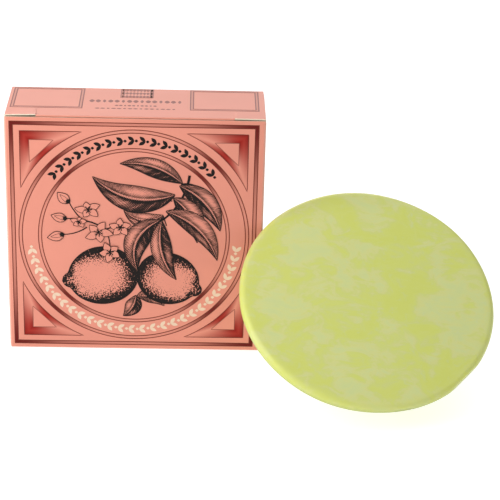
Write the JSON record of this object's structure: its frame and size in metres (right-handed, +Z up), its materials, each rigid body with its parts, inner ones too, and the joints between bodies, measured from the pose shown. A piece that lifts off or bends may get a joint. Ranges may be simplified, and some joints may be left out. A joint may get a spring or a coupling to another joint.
{
  "type": "shaving soap refill in its folding carton",
  "caption": "Round puck of hard shaving soap for a shaving bowl, leaning beside its square printed tuck-end folding carton.",
  "frame": {"origin": "middle of the carton's base, on the table", "axes": "+Z up, -Y out of the printed front panel, +X along the carton's width towards the puck"},
  "size_m": [0.1606, 0.0825, 0.085],
  "materials": {
    "printed_board": "satin",
    "plain_board": "matte",
    "soap": "satin"
  },
  "bodies": {
    "carton": {"front_panel": "printed_board", "back_panel": "printed_board", "left_side_panel": "printed_board", "right_side_panel": "printed_board", "glue_flap": "plain_board"},
    "top_lid": {"top_lid": "printed_board"},
    "top_tuck": {"top_tuck": "printed_board"},
    "top_dust_left": {"top_dust_flap_left": "printed_board"},
    "top_dust_right": {"top_dust_flap_right": "printed_board"},
    "bottom_lid": {"bottom_lid": "printed_board"},
    "bottom_tuck": {"bottom_tuck": "printed_board"},
    "bottom_dust_left": {"bottom_dust_flap_left": "printed_board"},
    "bottom_dust_right": {"bottom_dust_flap_right": "printed_board"},
    "soap": {"soap_puck": "soap"}
  },
  "joints": [
    {"name": "top_lid_hinge", "type": "hinge", "parent": "carton", "child": "top_lid", "pos_m": [0, 0.0135, 0.08445], "axis": [-1, 0, 0], "range_deg": [0, 200]},
    {"name": "top_tuck_hinge", "type": "hinge", "parent": "top_lid", "child": "top_tuck", "pos_m": [0, -0.0128, 0.085], "axis": [1, 0, 0], "range_deg": [0, 40]},
    {"name": "top_dust_hinge_left", "type": "hinge", "parent": "carton", "child": "top_dust_left", "pos_m": [-0.0425, 0, 0.08375], "axis": [0, -1, 0], "range_deg": [0, 90]},
    {"name": "top_dust_hinge_right", "type": "hinge", "parent": "carton", "child": "top_dust_right", "pos_m": [0.0425, 0, 0.08375], "axis": [0, 1, 0], "range_deg": [0, 90]},
    {"name": "bottom_lid_hinge", "type": "hinge", "parent": "carton", "child": "bottom_lid", "pos_m": [0, -0.0135, 0.00055], "axis": [-1, 0, 0], "range_deg": [0, 200]},
    {"name": "bottom_tuck_hinge", "type": "hinge", "parent": "bottom_lid", "child": "bottom_tuck", "pos_m": [0, 0.0128, 0], "axis": [1, 0, 0], "range_deg": [0, 40]},
    {"name": "bottom_dust_hinge_left", "type": "hinge", "parent": "carton", "child": "bottom_dust_left", "pos_m": [-0.0425, 0, 0.00125], "axis": [0, 1, 0], "range_deg": [0, 90]},
    {"name": "bottom_dust_hinge_right", "type": "hinge", "parent": "carton", "child": "bottom_dust_right", "pos_m": [0.0425, 0, 0.00125], "axis": [0, -1, 0], "range_deg": [0, 90]},
    {"name": "soap_lift", "type": "slide", "parent": "carton", "child": "soap", "axis": [0, 0, 1], "range_m": [0, 0.13]}
  ],
  "couplings": [
    {"joint": "top_tuck_hinge", "follows": "top_lid_hinge", "ratio": 0.2},
    {"joint": "top_dust_hinge_left", "follows": "top_lid_hinge", "ratio": 0.45},
    {"joint": "top_dust_hinge_right", "follows": "top_lid_hinge", "ratio": 0.45},
    {"joint": "bottom_tuck_hinge", "follows": "bottom_lid_hinge", "ratio": 0.2},
    {"joint": "bottom_dust_hinge_left", "follows": "bottom_lid_hinge", "ratio": 0.45},
    {"joint": "bottom_dust_hinge_right", "follows": "bottom_lid_hinge", "ratio": 0.45}
  ]
}
